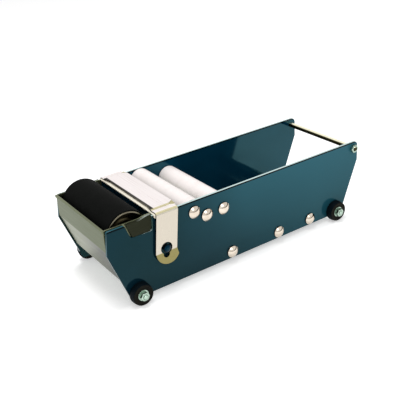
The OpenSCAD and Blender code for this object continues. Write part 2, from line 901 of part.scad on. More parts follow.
// Gusset in plan: foot of the step, spread outwards and spread inwards; it laps into the sheet round it
gusset_lip = 0.1;
gusset_lap = 0.3;
gusset_foot = [cover_x1 - gusset_len, -step_half - step_run - gusset_lip];
gusset_side = [cover_x1 - gusset_lip, gusset_foot.y - gusset_reach];
gusset_top = [gusset_side.x, -step_half + gusset_reach];
gusset_run = cross(gusset_side - gusset_foot, gusset_top - gusset_foot) / norm(gusset_side - gusset_foot);

module gusset_cut() {
    translate([0, 0, ridge_z + cover_t / 2]) linear_extrude(cover_step + cover_t)
        polygon([gusset_foot + [2 * gusset_lap, gusset_lap], gusset_side + [0, gusset_lap],
            gusset_side + [cut, gusset_lap], gusset_top + [cut, 0], gusset_top]);
}

// Solid three-sided gusset under a plane that climbs from the step's foot to the raised plate
module step_gusset() {
    turn = atan2(gusset_side.y - gusset_foot.y, gusset_side.x - gusset_foot.x);
    intersection() {
        translate([0, 0, ridge_z]) linear_extrude(cover_step + cover_t)
            polygon([gusset_foot, gusset_side, gusset_top + [0, gusset_lap]]);
        translate([gusset_foot.x, gusset_foot.y, ridge_z + cover_t + gusset_lip]) rotate([0, 0, turn])
            rotate([atan2(cover_step - 2 * gusset_lip, gusset_run), 0, 0]) translate([0, 0, -half_out])
            cube(frame_w, center = true);
    }
}

module cover_plate() {
    color("#e6ddd2") framed() {
        difference() {
            along(cover_x0, cover_x1) polygon(sheet(plate_path, step_bend, cover_t));
            front_edge_cut();
            both_sides() gusset_cut();
        }
        both_sides() {
            step_gusset();
            along(leg_x0, leg_x1) polygon(sheet(bow_path, cover_bend, cover_t));
            cover_leg();
        }
    }
}

side_plate_right();
side_plate_left();
floor_pan();
front_foot_rod();
rear_foot_rod();
rear_tie_rod();
rear_tie_nuts();
foot_front_right();
foot_front_left();
foot_rear_right();
foot_rear_left();
foot_washers();
foot_nuts();
blade_bridge();
blade_rivets();
cover_studs();
cover_plate();
guide_axle_front();
guide_axle_rear();
tension_rod();
guide_axle_caps();
guide_roller_front();
guide_roller_rear();
support_axle_front();
support_axle_middle();
support_axle_rear();
support_axle_caps();
support_roller_front();
support_roller_middle();
support_roller_rear();
water_tank();
tank_lug_right();
tank_lug_left();
axle_cradle_right();
axle_cradle_left();
wet_roller_axle();
wet_axle_clips();
wet_roller_drum();
wet_drum_ends();
wet_roller_sleeve();
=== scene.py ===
"""Surfaces and finishes for a bench dispenser of gummed paper tape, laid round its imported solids.

All places are in metres in the solids' frame: +X runs from the tape's exit to the rear, +Y to the far side,
and Z up from the table. Sizes are written in millimetres, as a number times MM.
"""

from math import cos, pi, radians, sin

import bmesh
import bpy
import numpy as np
from mathutils import Matrix, Vector


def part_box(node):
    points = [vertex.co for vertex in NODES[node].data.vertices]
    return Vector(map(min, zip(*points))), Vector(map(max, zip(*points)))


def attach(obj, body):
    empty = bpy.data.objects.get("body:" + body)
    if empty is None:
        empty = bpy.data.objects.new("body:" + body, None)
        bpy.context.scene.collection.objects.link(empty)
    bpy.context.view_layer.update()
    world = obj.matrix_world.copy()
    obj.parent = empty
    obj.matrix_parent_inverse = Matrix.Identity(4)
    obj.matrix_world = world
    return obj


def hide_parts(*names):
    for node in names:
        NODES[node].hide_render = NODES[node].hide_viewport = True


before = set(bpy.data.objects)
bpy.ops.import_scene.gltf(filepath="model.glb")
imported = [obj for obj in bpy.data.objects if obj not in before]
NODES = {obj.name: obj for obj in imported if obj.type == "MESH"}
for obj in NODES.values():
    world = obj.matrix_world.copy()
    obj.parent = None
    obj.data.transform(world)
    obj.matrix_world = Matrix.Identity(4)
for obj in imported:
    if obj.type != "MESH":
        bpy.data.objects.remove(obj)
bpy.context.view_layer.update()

MM = 0.001

# ---- Places taken from the solids


def axis_of(node):
    """Where the middle of a node lies in X and Z, which is where its axis along Y passes."""
    low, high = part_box(node)
    return (low.x + high.x) / 2, (low.z + high.z) / 2


def span_of(node):
    """How far a node reaches from the middle plane along Y."""
    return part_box(node)[1].y


PLATE_OUT = span_of("side_plate_left")
PLATE_IN = span_of("floor_pan")
PLATE_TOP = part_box("side_plate_right")[1].z
# The height at which the tips of the cover's legs start to turn out
CREASE_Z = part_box("cover_studs")[0].z + 0.7 * MM
# The front edge of the cover's raised middle, just behind the blade's teeth
COVER_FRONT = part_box("blade_bridge")[0].x + 2.9 * MM

# ---- Shapes


def softened(corners, radius, steps=5):
    """A line of points with its inner corners rounded.

    Each corner P becomes the curve (1-t)^2 A + 2t(1-t) P + t^2 B, where A and B lie on its two sides,
    at the radius or at half of the shorter side, whichever is nearer.
    """
    points = np.asarray(corners, float)
    t = np.linspace(0, 1, steps)[:, None]
    out = [points[:1]]
    for a, p, b in zip(points[:-2], points[1:-1], points[2:]):
        back, ahead = a - p, b - p
        reach = min(radius, np.linalg.norm(back) / 2, np.linalg.norm(ahead) / 2)
        a = p + back / np.linalg.norm(back) * reach
        b = p + ahead / np.linalg.norm(ahead) * reach
        out.append((1 - t) ** 2 * a + 2 * t * (1 - t) * p + t ** 2 * b)
    out.append(points[-1:])
    return np.concatenate(out)


def loop(corners, radius):
    """A closed line with all its corners rounded, as softened() does."""
    corners = np.asarray(corners, float)
    start = (corners[:1] + corners[-1:]) / 2
    return softened(np.concatenate([start, corners, start]), radius)


def dome(base, radius, height, steps=14):
    """A spherical dome's profile, in equal angles from the rim (base, radius) to the pole (base + height, 0).

    The ball's radius is (radius^2 + height^2) / (2 height).
    """
    ball = (radius ** 2 + height ** 2) / (2 * height)
    angle = np.linspace(np.arcsin(radius / ball), 0, steps)
    return np.stack([base + height - ball + ball * np.cos(angle), ball * np.sin(angle)], -1)


def turned(profile, axis, foot=0.0, side=1, steps=96, radius=None):
    """A surface of revolution about an axis along Y.

    Profile point (a, r) and angle t give X = x0 + r cos t, Y = foot + side a, Z = z0 + r sin t. Where
    radius(a, r, t) is given, it takes the place of r, for hexagons and threads.
    """
    profile = np.asarray(profile, float)
    t = np.arange(steps) * 2 * pi / steps
    a, r = profile[:, :1] + 0 * t, profile[:, 1:] + 0 * t
    if radius is not None:
        r = radius(a, r, t[None, :])
    return np.stack([axis[0] + r * np.cos(t), foot + side * a, axis[1] + r * np.sin(t)], -1)


def both_sides(profile, axes, foot, **how):
    """The same turned shape on the near and the far side, at each axis, pointing away from the middle."""
    return [turned(profile, axis, side * foot, side, **how) for axis in axes for side in (-1, 1)]


def mirrored(half_section):
    """A closed section: its far half, drawn from the middle plane out and back, and its mirror image."""
    half = np.asarray(half_section, float)
    return np.concatenate([half, half[::-1] * [-1, 1], half[:1]])


def woven(sheet):
    """Points and four-sided faces of a sheet of points whose columns close round."""
    rows, columns = sheet.shape[:2]
    cell = np.arange(rows * columns).reshape(rows, columns)
    here, next_row = cell[:-1], cell[1:]
    faces = np.stack([here, np.roll(here, -1, 1), np.roll(next_row, -1, 1), next_row], -1)
    return sheet.reshape(-1, 3), faces.reshape(-1, 4)


def placed(name, data):
    """A new object in the scene, at the origin."""
    made = bpy.data.objects.new(name, data)
    bpy.context.scene.collection.objects.link(made)
    return made


def smooth(mesh, sharp):
    """Smooth faces, with edges over the given angle kept sharp."""
    mesh.polygons.foreach_set("use_smooth", np.ones(len(mesh.polygons), bool))
    mesh.set_sharp_from_angle(angle=radians(sharp))


def settle(made, finish, body, slot, *nodes):
    """Gives a piece its finish and its body, and hides the solids that it stands for; its slot is not used.
    """
    made.data.materials.clear()
    made.data.materials.append(finish)
    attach(made, body)
    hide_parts(*nodes)


def piece(name, sheets, finish, body, slot, *nodes):
    """One piece from sheets of points: doubles merged, so that seams and poles close, and faces outwards."""
    points, faces, count = [], [], 0
    for sheet in sheets:
        p, f = woven(sheet)
        points.append(p)
        faces.append(f + count)
        count += len(p)
    mesh = bpy.data.meshes.new(name)
    mesh.from_pydata(np.concatenate(points), [], np.concatenate(faces))
    work = bmesh.new()
    work.from_mesh(mesh)
    bmesh.ops.remove_doubles(work, verts=work.verts, dist=1e-7)
    bmesh.ops.dissolve_degenerate(work, edges=work.edges, dist=1e-8)
    bmesh.ops.recalc_face_normals(work, faces=work.faces)
    work.to_mesh(mesh)
    work.free()
    smooth(mesh, 40)
    settle(placed(name, mesh), finish, body, slot, *nodes)


def eased(name, node, finish, body, slot, width, steps=2):
    """A copy of a solid with its flat faces joined and its edges broken by a small round, as sheet has."""
    fold = 35
    mesh = NODES[node].data.copy()
    mesh.name = name
    for old in ("custom_normal", "sharp_edge", "sharp_face"):
        if old in mesh.attributes:
            mesh.attributes.remove(mesh.attributes[old])
    work = bmesh.new()
    work.from_mesh(mesh)
    bmesh.ops.remove_doubles(work, verts=work.verts, dist=1e-6)
    bmesh.ops.dissolve_limit(work, angle_limit=radians(0.4), verts=work.verts, edges=work.edges)
    work.to_mesh(mesh)
    work.free()
    smooth(mesh, fold)
    made = placed(name, mesh)
    round_edge = made.modifiers.new("broken_edges", "BEVEL")
    round_edge.width = width
    round_edge.segments = steps
    round_edge.limit_method = "ANGLE"
    round_edge.angle_limit = radians(fold)
    round_edge.harden_normals = True
    settle(made, finish, body, slot, node)


# ---- How a finish is made


def tone(code):
    """A colour given as an sRGB hex value, as linear light."""
    part = np.array([int(code[i:i + 2], 16) for i in (1, 3, 5)]) / 255
    light = np.where(part <= 0.04045, part / 12.92, ((part + 0.055) / 1.055) ** 2.4)
    return (*light, 1.0)


def add(tree, kind, sockets, **settings):
    """Adds a node, gives it its settings, and gives each named socket its value or its link."""
    made = tree.nodes.new(kind)
    for key, value in settings.items():
        setattr(made, key, value)
    for key, value in sockets.items():
        if isinstance(value, bpy.types.NodeSocket):
            tree.links.new(value, made.inputs[key])
        else:
            made.inputs[key].default_value = value
    return made


def bare_tree(owner):
    """The empty node tree of a material or of the world."""
    owner.use_nodes = True
    owner.node_tree.nodes.clear()
    return owner.node_tree


def start(name, **surface):
    """A new material: its tree, its surface shader with the given sockets, and the object's coordinates."""
    made = bpy.data.materials.new(name)
    tree = bare_tree(made)
    shader = add(tree, "ShaderNodeBsdfPrincipled", {k.replace("_", " "): v for k, v in surface.items()})
    add(tree, "ShaderNodeOutputMaterial", {"Surface": shader.outputs[0]})
    place = add(tree, "ShaderNodeTexCoord", {})
    return made, tree, shader, place


# The limits of a zone of colour. Each says where the zone's share goes from nothing to the whole: along a
# direction in the object's own frame, or by the way that the surface faces. The words "either way" drop the
# sign, so that both sides of the middle plane, or both faces of a sheet, are treated alike.

X, Y, Z = (1, 0, 0), (0, 1, 0), (0, 0, 1)


def along(direction, first, last):
    """From the place first, along the direction, to the place last."""
    return "Object", False, direction, first, last


def along_either_way(direction, first, last):
    """As along(), on both sides of the origin."""
    return "Object", True, direction, first, last


def facing(direction, first, last):
    """By the cosine of the angle between the surface's normal and the direction."""
    return "Normal", False, direction, first, last


def facing_either_way(direction, first, last):
    """As facing(), for the direction and its opposite."""
    return "Normal", True, direction, first, last


def zoned(tree, place, colour, zones):
    """Lays further tones over a colour, zone by zone.

    A zone is (tone, limit, limit, ...). With p as the limit's measure of a point, its part is
    (p - first) / (last - first), held between 0 and 1, and the zone's share is the product of its parts.
    """
    for code, *limits in zones:
        share = 1.0
        for source, either_way, direction, first, last in limits:
            part = add(tree, "ShaderNodeVectorMath", {0: place.outputs[source], 1: direction},
                       operation="DOT_PRODUCT")
            if either_way:
                part = add(tree, "ShaderNodeMath", {0: part.outputs["Value"]}, operation="ABSOLUTE")
            ramp = add(tree, "ShaderNodeMapRange", {0: part.outputs["Value"], 1: first, 2: last})
            share = add(tree, "ShaderNodeMath", {0: ramp.outputs[0], 1: share},
                        operation="MULTIPLY").outputs[0]
        colour = add(tree, "ShaderNodeMix", {0: share, 6: colour, 7: tone(code)}, data_type="RGBA").outputs[2]
    return colour


def coloured(tree, place, shader, pattern, dark, light, zones, low=0.3, high=0.7):
    """Gives the shader its colour: dark where the pattern is under low, light where it is over high, then
    the zones on top."""
    share = add(tree, "ShaderNodeMapRange", {0: pattern, 1: low, 2: high})
    colour = add(tree, "ShaderNodeMix", {0: share.outputs[0], 6: tone(dark), 7: tone(light)},
                 data_type="RGBA")
    tree.links.new(zoned(tree, place, colour.outputs[2], zones), shader.inputs["Base Color"])


def grained(tree, shader, pattern, rough, spread, depth):
    """Gives the shader its gloss and its relief from one grain: the roughness goes from rough (1 - spread)
    to rough (1 + spread), and the relief is as deep as depth."""
    gloss = add(tree, "ShaderNodeMapRange", {0: pattern, 1: 0.3, 2: 0.7, 3: rough * (1 - spread),
                                             4: rough * (1 + spread)})
    tree.links.new(gloss.outputs[0], shader.inputs["Roughness"])
    relief = add(tree, "ShaderNodeBump", {"Height": pattern, "Distance": depth, "Strength": 1.0})
    tree.links.new(relief.outputs[0], shader.inputs["Normal"])


# Painted shade: the rounds between a plate's faces and its edges, where its colour and gloss are darkened
PAINTED_SHADE_ROUNDS = [facing_either_way(Y, 0.985, 0.93), facing_either_way(Y, 0.25, 0.45)]
# Painted shade: a narrow band under a plate's top edge, where its colour and gloss are darkened
PAINTED_SHADE_UNDER_TOP = [along(Z, PLATE_TOP - 1.5 * MM, PLATE_TOP - 1.1 * MM), facing_either_way(Y, 0.3, 0.5)]


def enamel(name, light, dark, shine, zones=()):
    """Glossy stoving enamel, sprayed on: deep colour, a mirror-like gloss that takes the enamel's own tint,
    faint clouds 30 mm across, and waves 1.8 mm long and 0.004 mm deep. Its gloss is dimmed by painted shade
    on the rounds of the edges and in a band under the top edge."""
    made, tree, shader, place = start(name, Roughness=0.07, Specular_IOR_Level=shine)
    # The gloss tint turns dark where painted shade lies: on the edge rounds and in the band under the top
    # edge
    gloss_tint, painted_shade_tint = "#90f7fe", "#202a2b"
    tint = zoned(tree, place, tone(gloss_tint), [(painted_shade_tint, *PAINTED_SHADE_ROUNDS), (painted_shade_tint, *PAINTED_SHADE_UNDER_TOP)])
    tree.links.new(tint, shader.inputs["Specular Tint"])
    cloud = add(tree, "ShaderNodeTexNoise", {"Vector": place.outputs["Object"], "Scale": 1 / (30 * MM),
                                             "Detail": 2.0})
    coloured(tree, place, shader, cloud.outputs[0], dark, light, zones)
    waves = add(tree, "ShaderNodeTexNoise", {"Vector": place.outputs["Object"], "Scale": 1 / (1.8 * MM),
                                             "Detail": 1.0})
    relief = add(tree, "ShaderNodeBump", {"Height": waves.outputs[0], "Distance": 0.004 * MM,
                                          "Strength": 1.0})
    tree.links.new(relief.outputs[0], shader.inputs["Normal"])
    return made


def brushed(name, light, dark, rough, across, streak=0.5 * MM, metal=1.0, zones=()):
    """Steel with a satin brush: streaks 45 mm long and one streak's width across the axis of that number
    change its colour, gloss and relief a little."""
    made, tree, shader, place = start(name, Metallic=metal)
    scale = [1 / (45 * MM)] * 3
    scale[across] = 1 / streak
    pulled = add(tree, "ShaderNodeMapping", {"Vector": place.outputs["Object"], "Scale": scale})
    grain = add(tree, "ShaderNodeTexNoise", {"Vector": pulled.outputs[0], "Scale": 1.0, "Detail": 3.0})
    coloured(tree, place, shader, grain.outputs[0], dark, light, zones)
    grained(tree, shader, grain.outputs[0], rough, 0.15, 0.002 * MM)
    return made


def plated(name, light, dark, rough, zones=()):
    """Bright plating: a smooth metal film with slow patches, 4 mm across, of a second tone and gloss."""
    made, tree, shader, place = start(name, Metallic=1.0)
    patch = add(tree, "ShaderNodeTexNoise", {"Vector": place.outputs["Object"], "Scale": 1 / (4 * MM),
                                             "Detail": 3.0})
    coloured(tree, place, shader, patch.outputs[0], dark, light, zones, 0.35, 0.65)
    gloss = add(tree, "ShaderNodeMapRange", {0: patch.outputs[0], 1: 0.3, 2: 0.7, 3: rough * 0.8,
                                             4: rough * 1.3})
    tree.links.new(gloss.outputs[0], shader.inputs["Roughness"])
    return made


def moulded(name, light, dark, rough, grain, depth, glint, zones=()):
    """Moulded plastic or rubber: one tone with faint clouds, 9 mm across, and a fine even skin."""
    made, tree, shader, place = start(name, Specular_IOR_Level=glint)
    skin = add(tree, "ShaderNodeTexNoise", {"Vector": place.outputs["Object"], "Scale": 1 / grain,
                                            "Detail": 2.0})
    cloud = add(tree, "ShaderNodeTexNoise", {"Vector": place.outputs["Object"], "Scale": 1 / (9 * MM),
                                             "Detail": 2.0})
    coloured(tree, place, shader, cloud.outputs[0], dark, light, zones)
    grained(tree, shader, skin.outputs[0], rough, 0.1, depth)
    return made


# ---- The finishes

# The plates' sheared edges, all in painted light and shade: pale where they face up, greenish elsewhere,
# teal at the front up to the notch, and dark on the rounds and in the band under the top edge
EDGE = facing_either_way(Y, 0.4, 0.25)
SHEARED_EDGE_LIGHT_AND_SHADE = [("#b9cdcb", EDGE, facing(Z, 0.5, 0.8)), ("#5d8078", EDGE, facing(Z, 0.8, 0.5)),
           ("#040b0e", *PAINTED_SHADE_ROUNDS), ("#2b5560", EDGE, along(X, -100 * MM, -103 * MM)),
           ("#020a0e", *PAINTED_SHADE_UNDER_TOP)]
# Stoving enamel, near plate: deepest at the front and the bottom. The lighter tones towards the top and the
# rear stand for the wide sheen that the photograph shows there, which this plain studio doesn't give.
NEAR_ENAMEL = enamel("glossy_blue_enamel", "#0a2734", "#08222c", 0.22, [
    ("#1a4b58", along(X, -37.5 * MM, 82.5 * MM)),
    ("#438497", along(Z, 15 * MM, 175 * MM), along(X, -80 * MM, 0 * MM)), *SHEARED_EDGE_LIGHT_AND_SHADE])
# Stoving enamel, far plate: a second copy of the near plate's paint, with its own tones and a stronger gloss,
# so that its inner face mirrors the bay; the two copies paint the difference in how the plates are lit. A
# painted shade, nearly black, lies on its inner face beside the tank
FAR_ENAMEL = enamel("glossy_blue_enamel_far", "#05394f", "#043247", 0.52, [
    ("#05100e", along(X, -105 * MM, -112 * MM), facing(Y, -0.5, -0.9)), *SHEARED_EDGE_LIGHT_AND_SHADE])
# Stoving enamel on the studs: the dome is blue, and a painted shade makes the neck and rim nearly black
STUD_ENAMEL = enamel("stud_blue_enamel", "#0b3348", "#082a3c", 0.2, [
    ("#03090c", facing_either_way(Y, 0.86, 0.8))])
# Black enamel in the pan, glossy enough to show what lies over it
PAN_ENAMEL = enamel("black_pan_enamel", "#16191b", "#121517", 0.5)
# Zinc plate with a green passivated cast, on nuts, washers, rods and axles
ZINC = plated("bright_zinc_plate", "#b4c9ba", "#96aa9c", 0.22)
# A lacquered rod: olive black, with a painted highlight, a pale line along its top
ROD_LACQUER = plated("dark_lacquered_rod", "#35331c", "#28260f", 0.25, [("#f4f0d4", facing(Z, 0.62, 0.8))])
# Nickel plate, polished to a mirror on the domes, with a painted shade, dark brown, on the short wall round
# the rim
CAP_NICKEL = plated("polished_nickel_plate", "#ddd2c3", "#cfc2b1", 0.08, [
    ("#2a241b", facing_either_way(Y, 0.62, 0.5))])
# Moulded nylon: near white, with a soft broad sheen and an even skin
NYLON = moulded("white_moulded_nylon", "#efe8e6", "#e8e0dd", 0.42, 0.6 * MM, 0.004 * MM, 0.5)
# Moulded rubber: olive on the flat face, with a painted reflection of the blue plates, blue-black, on the
# tread and the rounded shoulders
RUBBER = moulded("moulded_black_rubber", "#1d1d16", "#131310", 0.6, 0.5 * MM, 0.02 * MM, 0.06, [
    ("#030d13", facing_either_way(Y, 0.7, 0.4))])
# Ground sponge rubber: dead black with almost no glint, its grain drawn coarser than life so that it shows
SLEEVE_RUBBER = moulded("ground_black_sponge_rubber", "#070807", "#040504", 0.8, 0.7 * MM, 0.05 * MM, 0.05)
# Satin stainless sheet, white on the top. Its other tones are painted light and shade: a warmer, darker tone
# on the legs, a straw shade on the steps, folds and turned-out tips, painted highlights on the broken edges
# of the legs, and a painted shade, nearly black, on the edges that face the front and along the front of the
# middle
PAINTED_EDGE_SHADE = "#1a1711"
COVER_STEEL = brushed("satin_stainless_cover", "#f6efee", "#efe6e4", 0.3, 0, zones=[
    ("#b3ab84", facing(Z, 0.9985, 0.992), along_either_way(Y, 42.8 * MM, 42.4 * MM)),
    ("#c6beb0", facing(Z, 0.5, 0.3)),
    ("#c8c09c", facing(Z, 0.99, 0.97), facing(Z, 0.3, 0.5)),
    ("#8a8154", along(Z, CREASE_Z + 0.4 * MM, CREASE_Z - 0.4 * MM)),
    ("#e4e8dc", facing_either_way(Y, 0.97, 0.9), facing_either_way(Y, 0.2, 0.35), facing(Z, 0.5, 0.3)),
    (PAINTED_EDGE_SHADE, facing(X, -0.5, -0.7)),
    (PAINTED_EDGE_SHADE, along(X, COVER_FRONT + 1.3 * MM, COVER_FRONT + 1.0 * MM),
     along_either_way(Y, 40 * MM, 39 * MM))])
# Ground steel. As a full metal it would mirror the black roller, so it is mostly a matt pale surface here,
# and reads as the cream strip of the photograph.
BLADE_STEEL = brushed("ground_blade_steel", "#fdf6e6", "#f4ecd8", 0.4, 1, 0.4 * MM, 0.2)
# Satin stainless sheet, olive in tone. Painted shade makes the upright front wall darker than the slope under
# it, and darkens the slope towards the near end.
TANK_STEEL = brushed("satin_stainless_tank", "#757a61", "#6a6f56", 0.36, 2, zones=[
    ("#545c41", facing(X, -0.95, -0.985)),
    ("#3a3c34", facing(Z, -0.2, -0.3), along(Y, 20 * MM, -35 * MM))])
# The tank's lugs: the same sheet, duller, and darkened by painted shade, with a painted highlight, a pale
# line along the top
LUG_STEEL = brushed("dull_tank_lug_steel", "#2d2f24", "#222419", 0.45, 2, zones=[
    ("#7f857f", facing(Z, 0.3, 0.6), along(X, -106 * MM, -100 * MM))])
# Drawn tube under the sleeve, which shows as a bright ring round the roller's end
DRUM_STEEL = brushed("drawn_drum_steel", "#76715f", "#625d4f", 0.25, 1)
# The pressed discs in the drum's ends: brown, and dimmed by painted shade for the recess they sit in
DISC_STEEL = brushed("brown_disc_steel_painted_shade", "#5d563f", "#3d382a", 0.3, 1)
# Turned rollers under the tape, grey and lightly streaked round
ROLLER_STEEL = brushed("turned_roller_steel", "#6f7376", "#55595c", 0.35, 1)

# ---- Plates, pan and folded sheet pieces

eased("plate_right", "side_plate_right", NEAR_ENAMEL, "frame", "blue_enamel", 0.5 * MM, 4)
eased("plate_left", "side_plate_left", FAR_ENAMEL, "frame", "blue_enamel", 0.5 * MM, 4)
eased("pan", "floor_pan", PAN_ENAMEL, "frame", "dark_enamel", 0.15 * MM)
eased("blade", "blade_bridge", BLADE_STEEL, "frame", "blade_steel", 0.08 * MM)
eased("cover", "cover_plate", COVER_STEEL, "cover", "satin_stainless", 0.2 * MM)
eased("tank", "water_tank", TANK_STEEL, "tank", "tank_steel", 0.16 * MM)
for lug_side in ("right", "left"):
    eased("lug_" + lug_side, "tank_lug_" + lug_side, LUG_STEEL, "tank", "tank_steel", 0.2 * MM)
    eased("cradle_" + lug_side, "axle_cradle_" + lug_side, TANK_STEEL, "tank", "tank_steel", 0.12 * MM)

# ---- Rods, nuts, washers and feet

ROD_R, END_R, FIT = 2.5 * MM, 2.0 * MM, 0.05 * MM
BORE = ROD_R + 0.06 * MM
HOLE = END_R + FIT
THREAD_PITCH, THREAD_DEPTH = 0.7 * MM, 0.16 * MM
NUT_FLATS, NUT_H = 7 * MM, 3.2 * MM
WASHER_R, WASHER_T = 4.9 * MM, 0.8 * MM
FOOT_R, FOOT_FACE_R, FOOT_LEN = 9.75 * MM, 9.1 * MM, 7 * MM
RECESS_R, RECESS = 5.2 * MM, 1.2 * MM


def threaded_rod(node):
    """A rod whose thinner ends carry a thread.

    Its radius is ROD_R between the plates, and outside them END_R less THREAD_DEPTH times a saw of the turn
    a / pitch - t / 2 pi, so that the ridge climbs one pitch a turn, down to a chamfer at each tip.
    """
    reach, shoulder = span_of(node), PLATE_IN
    chamfer = 0.4 * MM
    outer = np.linspace(shoulder + FIT / 10, reach, 90)
    half = np.concatenate([[0.0, shoulder - 0.2 * MM, shoulder], outer])
    a = np.concatenate([-half[::-1], half[1:]])
    a = np.concatenate([a[:1], a, a[-1:]])
    rod_radius = np.where(np.abs(a) <= shoulder, ROD_R, END_R)
    rod_radius[[0, -1]] = 0

    def radius(along_rod, r, t):
        saw = np.abs(((along_rod / THREAD_PITCH - t / (2 * pi)) % 1) * 2 - 1)
        cut = END_R - THREAD_DEPTH * saw
        tip = END_R - np.clip(np.abs(along_rod) - (reach - chamfer), 0, None)
        outside = (np.abs(along_rod) > shoulder) & (r > 0)
        return np.where(outside, np.minimum(cut, tip), r)

    return turned(np.stack([a, rod_radius], -1), axis_of(node), steps=48, radius=radius)


def nut_sheets(axes, seat):
    """Hexagon nuts: the radius is the lesser of the hexagon's, flats / 2 / cos(angle from a flat), and the
    chamfer cone's, which is what cuts the arcs on a nut's corners."""
    corner = NUT_FLATS / 2 / cos(radians(30))
    cone_start, cone_slope = 0.96, 1.8
    lead_in = 0.3 * MM
    rise = np.linspace(0, 0.5 * MM, 6)
    side = np.concatenate([rise, NUT_H - rise[::-1]])
    cone = np.minimum(corner, NUT_FLATS / 2 * cone_start + np.minimum(side, NUT_H - side) * cone_slope)
    profile = np.concatenate([[[lead_in, HOLE], [0, HOLE + lead_in]], np.stack([side, cone], -1),
                              [[NUT_H, HOLE + lead_in], [NUT_H - lead_in, HOLE], [lead_in, HOLE]]])

    def radius(_, r, t):
        flat = NUT_FLATS / 2 / np.cos((t % (pi / 3)) - pi / 6)
        return np.minimum(r, flat)

    return both_sides(profile, axes, seat, steps=72, radius=radius)


FOOT_AXES = [axis_of("foot_front_right"), axis_of("foot_rear_right")]
FOOT_SEAT = FOOT_LEN - RECESS

for rod, rod_finish in (("front_foot_rod", ZINC), ("rear_foot_rod", ZINC), ("rear_tie_rod", ROD_LACQUER)):
    piece(rod + "_threaded", [threaded_rod(rod)], rod_finish, "frame", "zinc_plated", rod)
piece("tie_rod_nuts", nut_sheets([axis_of("rear_tie_rod")], PLATE_OUT), ZINC, "frame", "zinc_plated",
      "rear_tie_nuts")
piece("hex_foot_nuts", nut_sheets(FOOT_AXES, PLATE_OUT + FOOT_SEAT + WASHER_T), ZINC, "frame", "zinc_plated",
      "foot_nuts")
washer = loop([[0, HOLE], [0, WASHER_R], [WASHER_T, WASHER_R], [WASHER_T, HOLE]], 0.2 * MM)
piece("round_washers", both_sides(washer, FOOT_AXES, PLATE_OUT + FOOT_SEAT), ZINC, "frame", "zinc_plated",
      "foot_washers")
# The tread is straight near the plate and tapers to the face, which has a shallow ring round its recess
RING = FOOT_LEN - 0.25 * MM
foot = np.concatenate([
    softened([[FOOT_SEAT, HOLE], [0, HOLE], [0, FOOT_R], [FOOT_LEN * 0.45, FOOT_R], [FOOT_LEN, FOOT_FACE_R],
              [FOOT_LEN, 7.6 * MM]], 1.2 * MM, 8),
    softened([[RING, 7.1 * MM], [RING, 6.4 * MM], [FOOT_LEN, 6.1 * MM], [FOOT_LEN, RECESS_R],
              [FOOT_SEAT, RECESS_R], [FOOT_SEAT, HOLE]], 0.35 * MM)])
for foot_node in ("foot_front_right", "foot_front_left", "foot_rear_right", "foot_rear_left"):
    foot_side = -1 if foot_node.endswith("right") else 1
    piece("rubber_" + foot_node, [turned(foot, axis_of(foot_node), foot_side * PLATE_OUT, foot_side)], RUBBER,
          "frame", "black_rubber", foot_node)

# ---- Axles, caps, studs and rivets

CAP_R, CAP_H, CAP_RIM, CAP_BITE = 5.5 * MM, 3.6 * MM, 1.4 * MM, 2.2 * MM
DOME_R = CAP_R - 0.45 * MM
GUIDE_AXLES = ("guide_axle_front", "tension_rod", "guide_axle_rear")
SUPPORT_AXLES = ("support_axle_front", "support_axle_middle", "support_axle_rear")
# A push-on cap: a bore for the axle's end, a short wall, a rolled rim and a dome
cap = np.concatenate([
    [[CAP_BITE, 0], [CAP_BITE, HOLE], [0, HOLE]],
    softened([[0, CAP_R - 0.5 * MM], [0, CAP_R], [CAP_RIM - 0.3 * MM, CAP_R], [CAP_RIM, DOME_R]], 0.2 * MM),
    dome(CAP_RIM, DOME_R, CAP_H - CAP_RIM)[1:]])
for cap_name, cap_axles, cap_node in (("guide_caps", GUIDE_AXLES, "guide_axle_caps"),
                                      ("support_caps", SUPPORT_AXLES, "support_axle_caps")):
    piece(cap_name, both_sides(cap, [axis_of(axle) for axle in cap_axles], PLATE_OUT), CAP_NICKEL, "frame",
          "polished_cap", cap_node)
for axle in GUIDE_AXLES + SUPPORT_AXLES + ("wet_roller_axle",):
    NODES[axle].data.materials.clear()
    NODES[axle].data.materials.append(ZINC)

# A stud: a flange against the plate's inner face, a neck through the plate and the keyhole, a low domed head
NECK_R, HEAD_R, HEAD_H = 2.5 * MM, 3.8 * MM, 1.5 * MM
FLANGE_R, FLANGE_IN, FLANGE_OUT = 3.4 * MM, -2.8 * MM, -2.0 * MM
head_at = span_of("cover_studs") - PLATE_OUT - HEAD_H
stud = np.concatenate([
    softened([[FLANGE_IN, 0], [FLANGE_IN, FLANGE_R], [FLANGE_OUT, FLANGE_R], [FLANGE_OUT, NECK_R],
              [head_at, NECK_R], [head_at, HEAD_R - 0.4 * MM]], 0.2 * MM),
    dome(head_at, HEAD_R, HEAD_H)])
piece("painted_studs", both_sides(stud, [axis_of("cover_studs")], PLATE_OUT), STUD_ENAMEL, "frame",
      "blue_enamel", "cover_studs")

# A rivet: a flat head inside the bay and a shank through the plate
RIVET_R, RIVET_HEAD_R, RIVET_HEAD = 1.5 * MM, 2.4 * MM, -0.8 * MM
rivet_out = span_of("blade_rivets") - PLATE_IN
rivet = softened([[RIVET_HEAD, 0], [RIVET_HEAD, RIVET_HEAD_R], [0, RIVET_HEAD_R], [0, RIVET_R],
                  [rivet_out, RIVET_R], [rivet_out, 0]], 0.25 * MM)
piece("flush_rivets", both_sides(rivet, [axis_of("blade_rivets")], PLATE_IN), ZINC, "frame", "zinc_plated",
      "blade_rivets")

# ---- Rollers

GUIDE_R, SUPPORT_R = 10.2 * MM, 4.2 * MM
SLEEVE_R, DRUM_R, DISC_R = 18.9 * MM, 17.8 * MM, 16.85 * MM
WET_AXIS = axis_of("wet_roller_axle")


